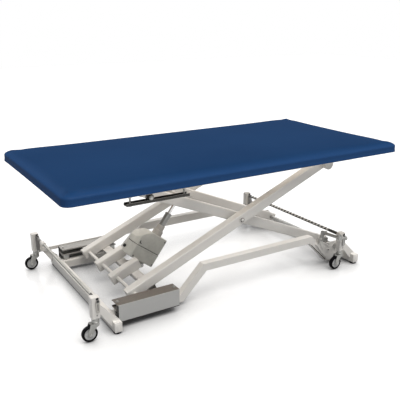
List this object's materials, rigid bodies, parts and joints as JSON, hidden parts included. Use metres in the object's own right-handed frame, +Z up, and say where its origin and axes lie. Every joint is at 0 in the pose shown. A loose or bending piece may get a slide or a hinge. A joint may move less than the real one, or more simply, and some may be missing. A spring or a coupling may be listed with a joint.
{
  "type": "treatment table",
  "caption": "Wide padded treatment table on an electric scissor lift, with a raised rail base, rubber feet and castors that drop to move it.",
  "frame": {"origin": "on the floor under the middle of the mattress", "axes": "+X along the length, +Y to the far side away from the release pedal, +Z up"},
  "size_m": [2, 1.0124, 0.718],
  "materials": {
    "frame_paint": "satin cream powder coat",
    "plastic_cap": "smooth",
    "rubber": "matt",
    "channel_steel": "satin",
    "zinc": "zinc plated",
    "sleeve_grey": "ribbed",
    "spiral_sleeve": "spiral wound",
    "roller_plastic": "smooth",
    "plywood": "raw",
    "upholstery": "fine grain vinyl",
    "motor_plastic": "fine texture",
    "motor_core": "matt",
    "tube_grey": "satin",
    "chrome": "polished",
    "hub": "smooth",
    "tyre": "matt"
  },
  "bodies": {
    "base": {"left_foot_beam": "frame_paint", "right_foot_beam": "frame_paint", "base_end_caps": "plastic_cap", "foot_pads": "rubber", "near_side_rail": "frame_paint", "far_side_rail": "frame_paint", "near_roller_channel": "channel_steel", "far_roller_channel": "channel_steel", "channel_guards": "channel_steel", "channel_fixings": "zinc", "pivot_brackets": "frame_paint", "near_left_outrigger": "frame_paint", "far_left_outrigger": "frame_paint", "near_right_outrigger": "frame_paint", "far_right_outrigger": "frame_paint"},
    "inner_frame": {"near_inner_arm": "frame_paint", "far_inner_arm": "frame_paint", "base_pivot_shaft": "zinc", "rod_bracket": "frame_paint", "guide_roller_shaft": "zinc"},
    "outer_frame": {"near_outer_arm": "frame_paint", "far_outer_arm": "frame_paint", "outer_cross_tube": "frame_paint", "track_roller_shaft": "frame_paint", "motor_forks": "frame_paint", "scissor_pins": "zinc", "motor_mount_pin": "zinc"},
    "top": {"frame_rails": "frame_paint", "frame_cross_tubes": "frame_paint", "mattress_board": "plywood", "mattress": "upholstery", "roller_guides": "channel_steel", "guide_bolts": "zinc", "top_pivot_brackets": "frame_paint"},
    "track_rollers": {"track_rollers": "roller_plastic"},
    "guide_rollers": {"guide_rollers": "roller_plastic"},
    "lift_motor": {"motor_housing": "motor_plastic", "motor_cover": "motor_plastic", "motor_unit": "motor_core", "actuator_tube": "tube_grey"},
    "lift_rod": {"actuator_rod": "chrome"},
    "right_cam": {"right_cam_shaft": "zinc", "right_spiral_sleeve": "spiral_sleeve"},
    "left_cam": {"left_cam_shaft": "zinc", "left_foot_sleeve": "sleeve_grey"},
    "cam_link": {"link_bar": "frame_paint"},
    "release_pedal": {"release_pedal": "zinc"},
    "castor_stems": {"castor_stems": "zinc"},
    "near_left_fork": {"near_left_fork": "zinc"},
    "near_left_wheel": {"near_left_hub": "hub", "near_left_tyre": "tyre"},
    "far_left_fork": {"far_left_fork": "zinc"},
    "far_left_wheel": {"far_left_hub": "hub", "far_left_tyre": "tyre"},
    "near_right_fork": {"near_right_fork": "zinc"},
    "near_right_wheel": {"near_right_hub": "hub", "near_right_tyre": "tyre"},
    "far_right_fork": {"far_right_fork": "zinc"},
    "far_right_wheel": {"far_right_hub": "hub", "far_right_tyre": "tyre"}
  },
  "joints": [
    {"name": "lift", "type": "hinge", "parent": "base", "child": "inner_frame", "pos_m": [0.672, 0, 0.105], "axis": [0, 1, 0], "range_deg": [-10, 9]},
    {"name": "scissor", "type": "hinge", "parent": "inner_frame", "child": "outer_frame", "pos_m": [0.02528, 0, 0.37288], "axis": [0, 1, 0], "range_deg": [-18, 20]},
    {"name": "top_level", "type": "hinge", "parent": "outer_frame", "child": "top", "pos_m": [0.60271, 0, 0.61206], "axis": [0, 1, 0], "range_deg": [-10, 9]},
    {"name": "motor_tilt", "type": "hinge", "parent": "outer_frame", "child": "lift_motor", "pos_m": [-0.4409, 0, 0.10293], "axis": [0, 1, 0], "range_deg": [-2.6, 2.6]},
    {"name": "rod_slide", "type": "slide", "parent": "lift_motor", "child": "lift_rod", "axis": [0.6018, 0, 0.7986], "range_m": [-0.0714, 0.0643]},
    {"name": "track_roll", "type": "hinge", "parent": "outer_frame", "child": "track_rollers", "pos_m": [-0.62143, 0, 0.105], "axis": [0, 1, 0], "continuous": true},
    {"name": "guide_roll", "type": "hinge", "parent": "inner_frame", "child": "guide_rollers", "pos_m": [-0.55214, 0, 0.61206], "axis": [0, 1, 0], "continuous": true},
    {"name": "right_cam_turn", "type": "hinge", "parent": "base", "child": "right_cam", "pos_m": [0.644, 0, 0.202], "axis": [0, -1, 0], "range_deg": [0, 35]},
    {"name": "left_cam_turn", "type": "hinge", "parent": "base", "child": "left_cam", "pos_m": [-0.875, 0, 0.202], "axis": [0, -1, 0], "range_deg": [0, 35]},
    {"name": "link_turn", "type": "hinge", "parent": "left_cam", "child": "cam_link", "pos_m": [-0.875, 0.44, 0.118], "axis": [0, -1, 0], "range_deg": [-35, 0]},
    {"name": "castor_drop", "type": "slide", "parent": "base", "child": "castor_stems", "axis": [0, 0, -1], "range_m": [0, 0.0125]},
    {"name": "pedal_press", "type": "hinge", "parent": "base", "child": "release_pedal", "pos_m": [0.545, -0.394, 0.178], "axis": [0, 1, 0], "range_deg": [0, 12], "stiffness_Nm_per_rad": 1.2, "springref_deg": -6.88},
    {"name": "near_left_swivel", "type": "hinge", "parent": "castor_stems", "child": "near_left_fork", "pos_m": [-0.883, -0.462, 0.108], "axis": [0, 0, 1], "continuous": true},
    {"name": "near_left_roll", "type": "hinge", "parent": "near_left_fork", "child": "near_left_wheel", "pos_m": [-0.914, -0.462, 0.04], "axis": [0, 1, 0], "continuous": true},
    {"name": "far_left_swivel", "type": "hinge", "parent": "castor_stems", "child": "far_left_fork", "pos_m": [-0.883, 0.462, 0.108], "axis": [0, 0, 1], "continuous": true},
    {"name": "far_left_roll", "type": "hinge", "parent": "far_left_fork", "child": "far_left_wheel", "pos_m": [-0.914, 0.462, 0.04], "axis": [0, 1, 0], "continuous": true},
    {"name": "near_right_swivel", "type": "hinge", "parent": "castor_stems", "child": "near_right_fork", "pos_m": [0.636, -0.462, 0.108], "axis": [0, 0, 1], "continuous": true},
    {"name": "near_right_roll", "type": "hinge", "parent": "near_right_fork", "child": "near_right_wheel", "pos_m": [0.605, -0.462, 0.04], "axis": [0, 1, 0], "continuous": true},
    {"name": "far_right_swivel", "type": "hinge", "parent": "castor_stems", "child": "far_right_fork", "pos_m": [0.636, 0.462, 0.108], "axis": [0, 0, 1], "continuous": true},
    {"name": "far_right_roll", "type": "hinge", "parent": "far_right_fork", "child": "far_right_wheel", "pos_m": [0.605, 0.462, 0.04], "axis": [0, 1, 0], "continuous": true}
  ],
  "couplings": [
    {"joint": "scissor", "follows": "lift", "ratio": -2},
    {"joint": "top_level", "follows": "lift", "ratio": 1},
    {"joint": "motor_tilt", "follows": "lift", "ratio": -0.255},
    {"joint": "rod_slide", "follows": "lift", "m_per_rad": 0.4079},
    {"joint": "left_cam_turn", "follows": "right_cam_turn", "ratio": 1},
    {"joint": "link_turn", "follows": "right_cam_turn", "ratio": -1},
    {"joint": "castor_drop", "follows": "right_cam_turn", "m_per_rad": 0.01964}
  ]
}
